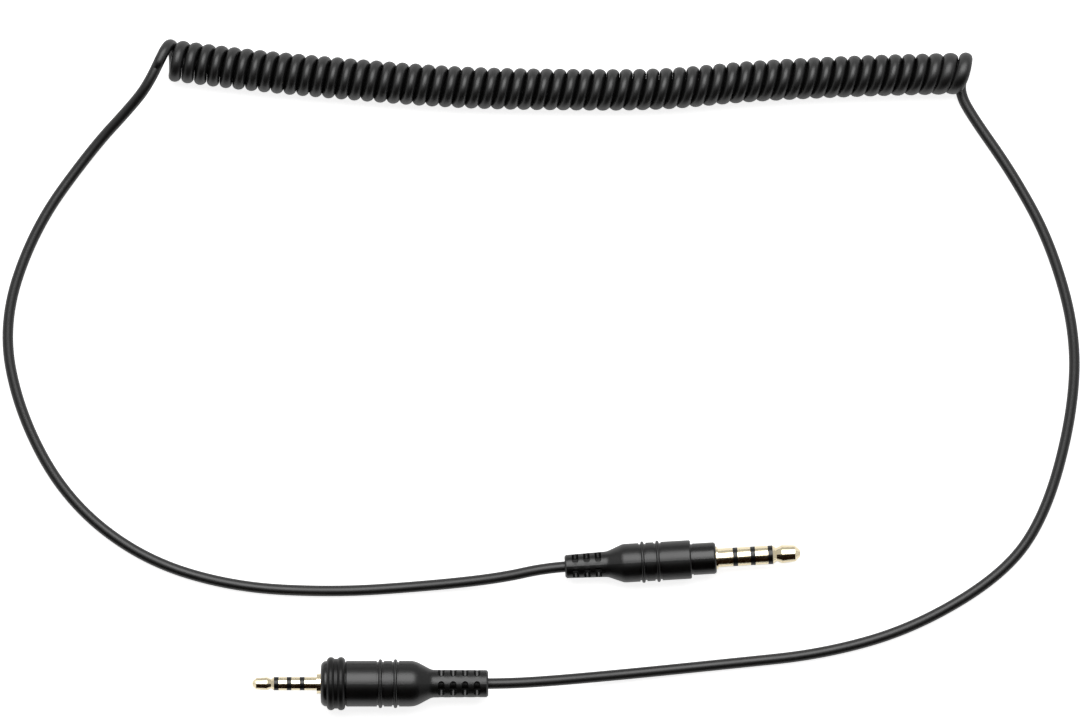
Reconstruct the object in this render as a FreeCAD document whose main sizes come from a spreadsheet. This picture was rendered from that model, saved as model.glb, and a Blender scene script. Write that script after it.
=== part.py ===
"""Curled audio cable with a moulded four-contact plug of 3.5 mm at one end and one of 2.5 mm at the other.

All lengths are in millimetres. The cable lies on a table at z = 0 and is seen from above: +X runs along the
curled section, +Y points away from the plugs to the curled section, +Z points up off the table.
"""

import FreeCAD, Part
import Sketcher
import math
import os
from FreeCAD import Placement, Rotation, Vector

os.makedirs("parts", exist_ok=True)
doc = FreeCAD.newDocument("curled_cable")
sheet = doc.addObject("Spreadsheet::Sheet", "dims")
sheet.Label = "driving dimensions"
row = 0


def driving(alias, value, meaning):
    """One driving dimension: its meaning, its value and the word that names the cell."""
    global row
    row += 1
    sheet.set("A%d" % row, meaning)
    sheet.set("B%d" % row, str(value))
    sheet.setAlias("B%d" % row, alias)


# Cable and curls.
wire_radius = 1.0
driving("wire_radius", wire_radius, "radius of the cable jacket")
curl_wire_radius = 0.946
driving("curl_wire_radius", curl_wire_radius, "radius of the jacket in the curls, where winding has drawn it thinner")
curl_radius = 2.94
driving("curl_radius", curl_radius, "radius of the curls, to the middle of the wire")
curl_space_left = 0.464
driving("curl_space_left", curl_space_left, "space between two curls at the left end, along the coil")
curl_space_right = 0.638
driving("curl_space_right", curl_space_right, "space between two curls at the right end, along the coil")
lean_left_ratio = 0.070
driving("lean_left_ratio", lean_left_ratio, "lean of the curls at the left end, mm along for each mm across")
lean_right_ratio = 0.145
driving("lean_right_ratio", lean_right_ratio, "lean of the curls near the right end")
lean_last_ratio = 0.18
driving("lean_last_ratio", lean_last_ratio, "lean of the last curl, where the cable pulls on it")
tip_left = -0.35
driving("tip_left", tip_left, "how far the first curls tip over along the coil, against X")
tip_right = 0.55
driving("tip_right", tip_right, "how far the curls from number 45 on tip over, along X")
last_stretch = 0.32
driving("last_stretch", last_stretch, "how far the last two curls are drawn out along the coil")
lead_in = 0.65
driving("lead_in", lead_in, "how far the first quarter turn reaches back to meet the left lead")
lead_out = 0.15
driving("lead_out", lead_out, "how far the last quarter turn reaches back to meet the right lead")
last_under = 0.25
driving("last_under", last_under, "how far the last whole strand on the table stands out along X")

# Plug for a 3.5 mm socket, heights counted along it from the end where the cable comes out.
a_pin_radius = 1.75
driving("a_pin_radius", a_pin_radius, "pin radius of the 3.5 mm plug")
a_contact_wall = 0.22
driving("a_contact_wall", a_contact_wall, "wall of each nested contact tube")
a_film_wall = 0.16
driving("a_film_wall", a_film_wall, "wall of each nested insulating tube")
a_boot_taper = 0.2
driving("a_boot_taper", a_boot_taper, "how much thinner the boot is where the cable comes out")
a_boot_root_radius = 2.37
driving("a_boot_root_radius", a_boot_root_radius, "radius of the boot where it meets the shoulder")
a_boot_length = 7.35
driving("a_boot_length", a_boot_length, "length of the boot")
a_window_first = 1.37
driving("a_window_first", a_window_first, "from the boot's end to its first window")
a_window_pitch = 2.12
driving("a_window_pitch", a_window_pitch, "spacing of the boot windows along the cable")
a_window_turn_deg = 42.0
driving("a_window_turn_deg", a_window_turn_deg, "turn of the boot windows around the plug, degrees")
a_shoulder_deg = 22.0
driving("a_shoulder_deg", a_shoulder_deg, "slope of the cone between boot and barrel, degrees")
a_shoulder_hollow = 2.5
driving("a_shoulder_hollow", a_shoulder_hollow, "radius of the hollow where the boot runs into that cone")
a_shoulder_round = 2.0
driving("a_shoulder_round", a_shoulder_round, "radius of the round where the cone runs into the barrel")
a_barrel_radius = 3.59
driving("a_barrel_radius", a_barrel_radius, "radius of the barrel")
a_barrel_length = 12.15
driving("a_barrel_length", a_barrel_length, "length of the barrel")
a_rib_height = 0.27
driving("a_rib_height", a_rib_height, "height of the finger ribs")
a_rib_width = 0.6
driving("a_rib_width", a_rib_width, "width of the finger ribs")
a_first_rib = 3.23
driving("a_first_rib", a_first_rib, "from the barrel's start to the middle of the first rib")
a_rib_spacing = 2.8
driving("a_rib_spacing", a_rib_spacing, "from the first rib to the second")
a_line_width = 0.33
driving("a_line_width", a_line_width, "width of the fine grooves on both sides of each rib")
a_line_depth = 0.22
driving("a_line_depth", a_line_depth, "depth of those fine grooves")
a_collar_wall = 1.19
driving("a_collar_wall", a_collar_wall, "wall of the nose collar around the pin")
a_collar_length = 4.3
driving("a_collar_length", a_collar_length, "length of the nose collar in front of its groove")
a_collar_edge = 0.5
driving("a_collar_edge", a_collar_edge, "rounding of the nose collar's front edge")
a_neck_length = 0.35
driving("a_neck_length", a_neck_length, "width of the groove between barrel and nose collar")
a_neck_depth = 0.12
driving("a_neck_depth", a_neck_depth, "depth of that groove, from the nose collar")
a_flange_lip = 0.35
driving("a_flange_lip", a_flange_lip, "how far the metal flange stands out from the pin")
a_flange_length = 0.35
driving("a_flange_length", a_flange_length, "length of that flange")
a_sleeve_length = 2.77
driving("a_sleeve_length", a_sleeve_length, "length of the sleeve contact that shows")
a_band_length = 0.88
driving("a_band_length", a_band_length, "length of each insulating ring that shows")
a_rear_ring_length = 2.38
driving("a_rear_ring_length", a_rear_ring_length, "length of the rear ring contact that shows")
a_front_ring_length = 2.37
driving("a_front_ring_length", a_front_ring_length, "length of the front ring contact that shows")
a_tip_length = 5.1
driving("a_tip_length", a_tip_length, "length of the tip contact that shows")
a_tip_neck = 0.7
driving("a_tip_neck", a_tip_neck, "from the last insulating ring to the neck of the tip")
a_mould_wall = 0.75
driving("a_mould_wall", a_mould_wall, "wall of the barrel around the inner mould")
a_core_set_in = 3.05
driving("a_core_set_in", a_core_set_in, "from the shoulder's start to the inner mould")
a_spread = 0.45
driving("a_spread", a_spread, "how far the soldered wire ends stand off the pin's radius")

# Plug for a 2.5 mm socket, heights counted in the same way.
b_pin_radius = 1.25
driving("b_pin_radius", b_pin_radius, "pin radius of the 2.5 mm plug")
b_contact_wall = 0.16
driving("b_contact_wall", b_contact_wall, "wall of each nested contact tube")
b_film_wall = 0.12
driving("b_film_wall", b_film_wall, "wall of each nested insulating tube")
b_boot_taper = 0.05
driving("b_boot_taper", b_boot_taper, "how much thinner the boot is where the cable comes out")
b_boot_root_radius = 2.57
driving("b_boot_root_radius", b_boot_root_radius, "radius of the boot where it meets the shoulder")
b_boot_length = 9.9
driving("b_boot_length", b_boot_length, "length of the boot")
b_window_first = 1.45
driving("b_window_first", b_window_first, "from the boot's end to its first window")
b_window_pitch = 2.2
driving("b_window_pitch", b_window_pitch, "spacing of the boot windows along the cable")
b_window_turn_deg = 67.5
driving("b_window_turn_deg", b_window_turn_deg, "turn of the boot windows around the plug, degrees")
b_shoulder_deg = 28.0
driving("b_shoulder_deg", b_shoulder_deg, "slope of the cone between boot and barrel, degrees")
b_shoulder_hollow = 2.0
driving("b_shoulder_hollow", b_shoulder_hollow, "radius of the hollow where the boot runs into that cone")
b_shoulder_round = 4.0
driving("b_shoulder_round", b_shoulder_round, "radius of the round where the cone runs into the barrel")
b_barrel_radius = 4.25
driving("b_barrel_radius", b_barrel_radius, "radius of the barrel")
b_barrel_length = 11.8
driving("b_barrel_length", b_barrel_length, "length of the barrel")
b_rib_height = 0.29
driving("b_rib_height", b_rib_height, "height of the finger ribs")
b_rib_width = 0.64
driving("b_rib_width", b_rib_width, "width of the finger ribs")
b_first_rib = 2.59
driving("b_first_rib", b_first_rib, "from the barrel's start to the middle of the first rib")
b_rib_spacing = 2.8
driving("b_rib_spacing", b_rib_spacing, "from the first rib to the second")
b_line_width = 0.33
driving("b_line_width", b_line_width, "width of the fine grooves on both sides of each rib")
b_line_depth = 0.22
driving("b_line_depth", b_line_depth, "depth of those fine grooves")
b_collar_step = 0.03
driving("b_collar_step", b_collar_step, "how much slimmer the front collar is than the barrel")
b_collar_length = 1.1
driving("b_collar_length", b_collar_length, "length of the front collar in front of the seal ring")
b_collar_edge = 1.0
driving("b_collar_edge", b_collar_edge, "rounding of the front collar's edge")
b_neck_length = 0.1
driving("b_neck_length", b_neck_length, "width of the groove between barrel and seal ring")
b_neck_depth = 0.25
driving("b_neck_depth", b_neck_depth, "depth of that groove, from the barrel")
b_seal_length = 3.4
driving("b_seal_length", b_seal_length, "length of the seal ring")
b_seal_lip = 0.37
driving("b_seal_lip", b_seal_lip, "how far the seal ring stands out from the barrel, between its ridges")
b_seal_foot = 0.05
driving("b_seal_foot", b_seal_foot, "how far the seal ring stands out from the barrel at its two ends")
b_seal_valley = 0.6
driving("b_seal_valley", b_seal_valley, "width of the flat between the two ridges of the seal ring")
b_ridge_ratio = 0.545
driving("b_ridge_ratio", b_ridge_ratio, "roundness of those ridges, radius for each millimetre of their width")
b_seal_wall = 1.33
driving("b_seal_wall", b_seal_wall, "wall of the seal ring between its ridges")
b_flange_lip = 0.6
driving("b_flange_lip", b_flange_lip, "how far the metal flange stands out from the pin")
b_flange_length = 0.75
driving("b_flange_length", b_flange_length, "length of that flange")
b_sleeve_length = 2.28
driving("b_sleeve_length", b_sleeve_length, "length of the sleeve contact that shows")
b_band_length = 0.85
driving("b_band_length", b_band_length, "length of each insulating ring that shows")
b_rear_ring_length = 1.57
driving("b_rear_ring_length", b_rear_ring_length, "length of the rear ring contact that shows")
b_front_ring_length = 1.52
driving("b_front_ring_length", b_front_ring_length, "length of the front ring contact that shows")
b_tip_length = 4.0
driving("b_tip_length", b_tip_length, "length of the tip contact that shows")
b_tip_neck = 0.55
driving("b_tip_neck", b_tip_neck, "from the last insulating ring to the neck of the tip")
b_mould_wall = 1.0
driving("b_mould_wall", b_mould_wall, "wall of the barrel around the inner mould")
b_core_set_in = 3.0
driving("b_core_set_in", b_core_set_in, "from the shoulder's start to the inner mould")
b_spread = 0.5
driving("b_spread", b_spread, "how far the soldered wire ends stand off the pin's radius")

# Sizes that both plugs share.
jacket_entry = 1.5
driving("jacket_entry", jacket_entry, "how deep the boot takes the free cable before the jacket end begins")
window_wide = 1.2
driving("window_wide", window_wide, "length of a boot window along the cable")
window_span_deg = 70.0
driving("window_span_deg", window_span_deg, "angle that a boot window spans around the cable")
window_jacket_wall = 0.35
driving("window_jacket_wall", window_jacket_wall, "wall left between the cable and the bottom of a boot window")
window_round_deg = 14.0
driving("window_round_deg", window_round_deg, "angle from a window's end to the middle of its round end")
window_draft_deg = 8.0
driving("window_draft_deg", window_draft_deg, "slope of a window's end walls, so that the boot leaves its mould")
stem_step = 0.25
driving("stem_step", stem_step, "how much thicker the sleeve contact is inside the plug than its pin")
washer_height = 0.3
driving("washer_height", washer_height, "thickness of the sheet metal of the solder lugs")
washer_rim = 0.25
driving("washer_rim", washer_rim, "width of a solder lug's washer around its tube")
tab_length = 1.2
driving("tab_length", tab_length, "length of the tab of a solder lug")
tab_width = 1.0
driving("tab_width", tab_width, "width of that tab")
lug_step = 1.6
driving("lug_step", lug_step, "from one solder lug to the next")
lug_set_back = 1.5
driving("lug_set_back", lug_set_back, "from the inner mould's front to the first solder lug")
barrel_edge = 0.3
driving("barrel_edge", barrel_edge, "rounding of the barrel's front edge")
boot_edge = 0.3
driving("boot_edge", boot_edge, "chamfer of the boot's end")
line_gap = 0.02
driving("line_gap", line_gap, "from a finger rib to the fine grooves beside it")
window_clear = 0.6
driving("window_clear", window_clear, "how far the window cutter reaches past the thickest boot")
wire_straight = 0.9
driving("wire_straight", wire_straight, "straight stretch at each end of an inner wire")
tail = 0.35
driving("tail", tail, "how far each tube reaches behind its own lug")
solder_radius = 0.36
driving("solder_radius", solder_radius, "radius of a solder joint")
solder_length = 0.9
driving("solder_length", solder_length, "length of a solder joint")
core_wire_radius = 0.26
driving("core_wire_radius", core_wire_radius, "radius of an insulated inner wire")
bare_wire_radius = 0.14
driving("bare_wire_radius", bare_wire_radius, "radius of its bare end")
bare_wire_length = 0.6
driving("bare_wire_length", bare_wire_length, "length of its bare end")
core_wire_ring = 0.42
driving("core_wire_ring", core_wire_ring, "distance of the inner wires from the axis inside the jacket")

# Where the plugs lie.
a_tilt_deg = 3.3
driving("a_tilt_deg", a_tilt_deg, "angle of the 3.5 mm plug to the X axis, degrees")
a_cable_x = 7.105
driving("a_cable_x", a_cable_x, "where the cable leaves the 3.5 mm plug, X")
a_cable_y = 10.83
driving("a_cable_y", a_cable_y, "where the cable leaves the 3.5 mm plug, Y")
b_cable_x = -7.095
driving("b_cable_x", b_cable_x, "where the cable leaves the 2.5 mm plug, X")
b_cable_y = -10.805
driving("b_cable_y", b_cable_y, "where the cable leaves the 2.5 mm plug, Y")
doc.recompute()


def size(alias):
    """The present value of a cell."""
    return float(sheet.get(alias))


def derived(alias, formula):
    """A cell worked out from others."""
    global row
    row += 1
    sheet.set("A%d" % row, "worked out")
    sheet.set("B%d" % row, "=" + formula)
    sheet.setAlias("B%d" % row, alias)


derived("zero", "wire_radius - wire_radius")
derived("pitch_left", "2 * curl_wire_radius + curl_space_left")
derived("pitch_right", "2 * curl_wire_radius + curl_space_right")
derived("window_floor", "wire_radius + window_jacket_wall")
for p in ("a_", "b_"):
    derived(p + "boot_end_radius", p + "boot_root_radius - " + p + "boot_taper")
    derived(p + "core_radius", p + "barrel_radius - " + p + "mould_wall")
    derived(p + "core_start", p + "boot_length + " + p + "core_set_in")
    derived(p + "spread_radius", p + "pin_radius + " + p + "spread")
    derived(p + "flange_radius", p + "pin_radius + " + p + "flange_lip")
    derived(p + "stem_radius", p + "pin_radius + stem_step")
    derived(p + "shoulder", p + "boot_length")
    # Shoulder: a hollow at the boot, a cone, and a round at the barrel, each running smoothly into the next.
    level = "(1 - cos(" + p + "shoulder_deg))"
    derived(p + "hollow_end", p + "shoulder + " + p + "shoulder_hollow * sin(" + p + "shoulder_deg)")
    derived(p + "hollow_end_radius", p + "boot_root_radius + " + p + "shoulder_hollow * " + level)
    derived(p + "round_start_radius", p + "barrel_radius - " + p + "shoulder_round * " + level)
    cone = "(" + p + "round_start_radius - " + p + "hollow_end_radius) / tan(" + p + "shoulder_deg)"
    derived(p + "round_start", p + "hollow_end + " + cone)
    derived(p + "barrel", p + "round_start + " + p + "shoulder_round * sin(" + p + "shoulder_deg)")
    derived(p + "barrel_end", p + "barrel + " + p + "barrel_length")
    derived(p + "neck_end", p + "barrel_end + " + p + "neck_length")
derived("a_collar_radius", "a_pin_radius + a_collar_wall")
derived("a_neck_radius", "a_collar_radius - a_neck_depth")
derived("b_collar_radius", "b_barrel_radius - b_collar_step")
derived("b_neck_radius", "b_barrel_radius - b_neck_depth")
derived("b_seal_radius", "b_barrel_radius + b_seal_lip")
derived("b_seal_bore", "b_seal_radius - b_seal_wall")
derived("a_collar_end", "a_neck_end + a_collar_length")
derived("b_seal_end", "b_neck_end + b_seal_length")
derived("b_collar_end", "b_seal_end + b_collar_length")

for p in ("a_", "b_"):
    # Along the pin.
    derived(p + "sleeve", p + "collar_end + " + p + "flange_length")
    derived(p + "rear_band", p + "sleeve + " + p + "sleeve_length")
    derived(p + "rear_ring", p + "rear_band + " + p + "band_length")
    derived(p + "middle_band", p + "rear_ring + " + p + "rear_ring_length")
    derived(p + "front_ring", p + "middle_band + " + p + "band_length")
    derived(p + "front_band", p + "front_ring + " + p + "front_ring_length")
    derived(p + "tip", p + "front_band + " + p + "band_length")
    derived(p + "tip_waist", p + "tip + " + p + "tip_neck")
    derived(p + "tip_bulb", p + "tip_waist + 0.55 * " + p + "pin_radius")
    derived(p + "tip_cone", p + "tip + " + p + "tip_length - 0.55 * " + p + "pin_radius")
    derived(p + "tip_end", p + "tip + " + p + "tip_length")
    derived(p + "waist_radius", "0.72 * " + p + "pin_radius")
    derived(p + "bulb_radius", "0.97 * " + p + "pin_radius")
    derived(p + "cone_radius", "0.87 * " + p + "pin_radius")
    derived(p + "nose_radius", "0.34 * " + p + "pin_radius")
    # Radii of the nested tubes, from the outside in.
    derived(p + "tube_one", p + "pin_radius - " + p + "contact_wall")
    derived(p + "tube_two", p + "tube_one - " + p + "film_wall")
    derived(p + "tube_three", p + "tube_two - " + p + "contact_wall")
    derived(p + "tube_four", p + "tube_three - " + p + "film_wall")
    derived(p + "tube_five", p + "tube_four - " + p + "contact_wall")
    derived(p + "rod", p + "tube_five - " + p + "film_wall")
    # Solder lugs, each one step further back than the one before.
    derived(p + "lug_one", p + "barrel_end - lug_set_back")
    derived(p + "lug_two", p + "lug_one - lug_step")
    derived(p + "lug_three", p + "lug_two - lug_step")
    derived(p + "lug_four", p + "lug_three - lug_step")
    for word, lug in (("one", "lug_one"), ("two", "lug_two"), ("three", "lug_three"), ("four", "lug_four")):
        derived(p + "tail_" + word, p + lug + " - tail")
    for word in ("one", "two", "three"):
        derived(p + "film_" + word, p + "tail_" + word + " - tail")
    # Ribs and the fine grooves beside them.
    derived(p + "rib_radius", p + "barrel_radius + " + p + "rib_height")
    derived(p + "line_radius", p + "barrel_radius - " + p + "line_depth")
    derived(p + "rib_arc", p + "rib_width * " + p + "rib_width / (8 * " + p + "rib_height) + " + p + "rib_height / 2")
    derived(p + "one_rib_start", p + "barrel + " + p + "first_rib - " + p + "rib_width / 2")
    derived(p + "two_rib_start", p + "one_rib_start + " + p + "rib_spacing")
    for word in ("one", "two"):
        derived(p + word + "_rib_end", p + word + "_rib_start + " + p + "rib_width")
        derived(p + word + "_back_line_end", p + word + "_rib_start - line_gap")
        derived(p + word + "_back_line_start", p + word + "_back_line_end - " + p + "line_width")
        derived(p + word + "_line_start", p + word + "_rib_end + line_gap")
        derived(p + word + "_line_end", p + word + "_line_start + " + p + "line_width")
    derived(p + "edge_radius", p + "barrel_radius - barrel_edge")
    derived(p + "edge_start", p + "barrel_end - barrel_edge")
    derived(p + "boot_chamfer", p + "boot_end_radius - boot_edge")
derived("a_collar_edge_start", "a_collar_end - a_collar_edge")
derived("a_collar_face", "a_collar_radius - a_collar_edge")
derived("b_collar_edge_start", "b_collar_end - b_collar_edge")
derived("b_collar_face", "b_collar_radius - b_collar_edge")
# Seal ring: two round ridges with a flat between them. ridge_width is the straight width of one ridge.
derived("b_foot_radius", "b_barrel_radius + b_seal_foot")
derived("ridge_run", "(b_seal_length - b_seal_valley) / 2")
derived("ridge_width", "sqrt(ridge_run * ridge_run + (b_seal_radius - b_foot_radius) * (b_seal_radius - b_foot_radius))")
derived("ridge_arc", "b_ridge_ratio * ridge_width")
derived("ridge_in", "sqrt(b_ridge_ratio * b_ridge_ratio - 0.25) * ridge_run")
derived("b_seal_crest", "(b_seal_radius + b_foot_radius) / 2 - ridge_in + ridge_arc")
derived("valley_start", "b_neck_end + ridge_run")
derived("valley_end", "valley_start + b_seal_valley")
derived("window_reach", "b_boot_root_radius + window_clear")
for n, word in enumerate(("one", "two", "three", "four")):
    for p in ("a_", "b_"):
        derived(p + "window_" + word, p + "window_first + %d * " % n + p + "window_pitch")
        derived(p + "window_" + word + "_end", p + "window_" + word + " + window_wide")
        derived(p + "window_" + word + "_mid", p + "window_" + word + " + window_wide / 2")
derived("window_half_deg", "window_span_deg / 2 - window_round_deg")
derived("window_straight_deg", "2 * window_half_deg")
derived("window_lean_deg", "window_round_deg + window_draft_deg")
for p in ("a_", "b_"):
    derived(p + "window_aside", p + "boot_root_radius * sin(window_lean_deg)")
derived("window_round", "window_wide / 2")
derived("window_deep", "window_reach - window_floor")
derived("solder_bore", "solder_length - bare_wire_length")
doc.recompute()
doc.recompute()


def draw(sketch, profile, arcs=None):
    """A closed outline in a sketch, every corner bound to the cells of its radius and height.

    arcs gives, for the side that starts at a corner, the radius cell of an arc and on which side of the way from
    corner to corner its centre lies.
    """
    arcs = arcs or {}
    corners = [Vector(size(r), size(z), 0) for r, z in profile]
    count = len(corners)
    ends = []
    for i in range(count):
        start = corners[i]
        stop = corners[(i + 1) % count]
        if i in arcs:
            radius_cell, side = arcs[i]
            radius = size(radius_cell)
            chord = stop - start
            half = chord.Length / 2
            across = Vector(-chord.y, chord.x, 0).normalize()
            centre = start + chord * 0.5 + across * (side * math.sqrt(max(radius * radius - half * half, 0.0)))
            first, last = (start, stop) if side > 0 else (stop, start)
            from_angle = math.atan2(first.y - centre.y, first.x - centre.x)
            to_angle = math.atan2(last.y - centre.y, last.x - centre.x)
            if to_angle < from_angle:
                to_angle += 2 * math.pi
            circle = Part.Circle(centre, Vector(0, 0, 1), radius)
            geo = sketch.addGeometry(Part.ArcOfCircle(circle, from_angle, to_angle), False)
            ends.append((geo, 1, 2) if side > 0 else (geo, 2, 1))
        else:
            geo = sketch.addGeometry(Part.LineSegment(start, stop), False)
            ends.append((geo, 1, 2))
    for i in range(count):
        geo, start_pos, stop_pos = ends[i]
        next_geo, next_start, _ = ends[(i + 1) % count]
        sketch.addConstraint(Sketcher.Constraint("Coincident", geo, stop_pos, next_geo, next_start))
        for kind, cell, value in zip(("DistanceX", "DistanceY"), profile[i], (corners[i].x, corners[i].y)):
            at = sketch.addConstraint(Sketcher.Constraint(kind, -1, 1, geo, start_pos, value))
            sketch.setExpression("Constraints[%d]" % at, "dims." + cell)
        if i in arcs:
            at = sketch.addConstraint(Sketcher.Constraint("Radius", geo, size(arcs[i][0])))
            sketch.setExpression("Constraints[%d]" % at, "dims." + arcs[i][0])


def turned(label, profile, arcs=None):
    """A turned body about its own Z axis, from an outline of (radius cell, height cell) corners."""
    body = doc.addObject("PartDesign::Body", label)
    body.Label = label
    sketch = body.newObject("Sketcher::SketchObject", label + "_profile")
    plane = next(f for f in body.Origin.OriginFeatures if f.Role == "XZ_Plane")
    sketch.AttachmentSupport = [(plane, "")]
    sketch.MapMode = "FlatFace"
    draw(sketch, profile, arcs)
    turn = body.newObject("PartDesign::Revolution", label + "_turned")
    turn.Profile = sketch
    turn.ReferenceAxis = (sketch, ["V_Axis"])
    turn.Angle = 360.0
    sketch.Visibility = False
    body.Tip = turn
    doc.recompute()
    return body


def cut_windows(body, p, columns):
    """Blind windows around a boot: columns along the cable, four around it, each with two round ends."""
    place = size(p + "window_turn_deg")
    sketch = body.newObject("Sketcher::SketchObject", body.Label + "_windows")
    plane = next(f for f in body.Origin.OriginFeatures if f.Role == "XZ_Plane")
    sketch.AttachmentSupport = [(plane, "")]
    sketch.MapMode = "FlatFace"
    sketch.AttachmentOffset = Placement(Vector(), Rotation(Vector(0, 1, 0), place))
    for word in columns:
        low, high = p + "window_" + word, p + "window_" + word + "_end"
        draw(sketch, [("window_floor", low), ("window_reach", low), ("window_reach", high), ("window_floor", high)])
    groove = body.newObject("PartDesign::Groove", body.Label + "_window_cut")
    groove.Profile = sketch
    groove.ReferenceAxis = (sketch, ["V_Axis"])
    groove.Midplane = True
    groove.Angle = size("window_straight_deg")
    groove.setExpression("Angle", "dims.window_straight_deg")
    sketch.Visibility = False
    doc.recompute()
    cuts = [groove]
    for side, word in ((-1, "low"), (1, "high")):
        angle = math.radians(place + side * (size("window_half_deg") + size("window_lean_deg")))
        aside = side * size(p + "window_aside")
        outward = Vector(math.cos(angle), math.sin(angle), 0)
        along = Vector(0, 0, 1)
        ends = body.newObject("Sketcher::SketchObject", body.Label + "_window_ends_" + word)
        ends.Placement = Placement(outward * size("window_reach"),
                                   Rotation(along, outward.cross(along), outward, "ZXY"))
        for column in columns:
            middle = p + "window_" + column + "_mid"
            circle = Part.Circle(Vector(size(middle), aside, 0), Vector(0, 0, 1), size("window_round"))
            geo = ends.addGeometry(circle, False)
            at = ends.addConstraint(Sketcher.Constraint("DistanceY", -1, 1, geo, 3, aside))
            ends.setExpression("Constraints[%d]" % at, "%d * dims.%swindow_aside" % (side, p))
            at = ends.addConstraint(Sketcher.Constraint("DistanceX", -1, 1, geo, 3, size(middle)))
            ends.setExpression("Constraints[%d]" % at, "dims." + middle)
            at = ends.addConstraint(Sketcher.Constraint("Radius", geo, size("window_round")))
            ends.setExpression("Constraints[%d]" % at, "dims.window_round")
        pocket = body.newObject("PartDesign::Pocket", body.Label + "_window_end_cut_" + word)
        pocket.Profile = ends
        pocket.Length = size("window_deep")
        pocket.setExpression("Length", "dims.window_deep")
        ends.Visibility = False
        doc.recompute()
        cuts.append(pocket)
    around = body.newObject("PartDesign::PolarPattern", body.Label + "_window_rows")
    around.Originals = cuts
    around.Axis = (next(f for f in body.Origin.OriginFeatures if f.Role == "Z_Axis"), [""])
    around.Angle = 360.0
    around.Occurrences = 4
    body.Tip = around
    doc.recompute()


def fine_groove(p, name):
    """The four corners of a fine groove in the barrel."""
    start, end = name + "_start", name + "_end"
    return [(p + "barrel_radius", start), (p + "line_radius", start), (p + "line_radius", end), (p + "barrel_radius", end)]


# Each plug's own frame: the cable leaves at the origin, +Z runs along the plug to the tip, +X faces the camera.
def plug_placement(prefix):
    if prefix == "a_":
        tilt = math.radians(size("a_tilt_deg"))
        along = Vector(math.cos(tilt), math.sin(tilt), 0)
        base = Vector(size("a_cable_x"), size("a_cable_y"), size("a_rib_radius"))
    else:
        along = Vector(-1, 0, 0)
        base = Vector(size("b_cable_x"), size("b_cable_y"), size("b_seal_crest"))
    up = Vector(0, 0, 1)
    return Placement(base, Rotation(up, along.cross(up), along, "XZY"))


nodes = {}


def settle(label, thing, placement):
    """Puts a finished piece in its place and keeps it for the check and the export."""
    thing.Placement = placement
    nodes[label] = thing


def own(thing):
    """The shape of a piece in its own frame, whatever its placement."""
    shape = thing.Shape.copy()
    shape.Placement = Placement()
    return shape


def lug(label, p, tube_cell, height_cell):
    """A solder lug: a washer on its tube, an arm and a tab that points back to the cable."""
    disc = doc.addObject("Part::Cylinder", label + "_disc")
    disc.setExpression("Radius", "dims." + p + tube_cell + " + dims.washer_rim")
    disc.setExpression("Height", "dims.washer_height")
    arm = doc.addObject("Part::Box", label + "_arm")
    arm.setExpression("Length", "dims." + p + "spread_radius + dims.washer_height / 2")
    arm.setExpression("Width", "dims.tab_width")
    arm.setExpression("Height", "dims.washer_height")
    arm.setExpression("Placement.Base.y", "-dims.tab_width / 2")
    tab = doc.addObject("Part::Box", label + "_tab")
    tab.setExpression("Length", "dims.washer_height")
    tab.setExpression("Width", "dims.tab_width")
    tab.setExpression("Height", "dims.tab_length + dims.washer_height")
    tab.setExpression("Placement.Base.x", "dims." + p + "spread_radius - dims.washer_height / 2")
    tab.setExpression("Placement.Base.y", "-dims.tab_width / 2")
    tab.setExpression("Placement.Base.z", "-dims.tab_length")
    whole = doc.addObject("Part::MultiFuse", label + "_blank")
    whole.Shapes = [disc, arm, tab]
    hole = doc.addObject("Part::Cylinder", label + "_hole")
    hole.setExpression("Radius", "dims." + p + tube_cell)
    hole.setExpression("Height", "2 * dims.washer_height")
    hole.setExpression("Placement.Base.z", "-dims.washer_height / 2")
    cut = doc.addObject("Part::Cut", label)
    cut.Base = whole
    cut.Tool = hole
    cut.Label = label
    doc.recompute()
    return cut


def bent_path(points, share=0.45):
    """Straight runs joined by tangent arcs, as one wire; the arcs' radii come back with it."""
    edges = []
    radii = []
    at = points[0]
    for i in range(1, len(points) - 1):
        before = points[i] - points[i - 1]
        after = points[i + 1] - points[i]
        turn = before.getAngle(after)
        reach = share * min(before.Length, after.Length)
        radius = reach / math.tan(turn / 2)
        into = Vector(before).normalize()
        away = Vector(after).normalize()
        start = points[i] - into * reach
        stop = points[i] + away * reach
        inward = (away - into).normalize()
        middle = points[i] + inward * (radius / math.cos(turn / 2) - radius)
        edges.append(Part.LineSegment(at, start).toShape())
        edges.append(Part.Arc(start, middle, stop).toShape())
        radii.append(radius)
        at = stop
    edges.append(Part.LineSegment(at, points[-1]).toShape())
    return Part.Wire(edges), radii


def tube_along(path, radius, start, direction):
    """A round solid along a wire."""
    ring = Part.Wire([Part.makeCircle(radius, start, direction)])
    solid = path.makePipeShell([ring], True, False)
    if solid.Volume < 0:
        solid.reverse()
    return solid


def add_shape(label, shape):
    thing = doc.addObject("Part::Feature", label)
    thing.Label = label
    thing.Shape = shape
    return thing


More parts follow.
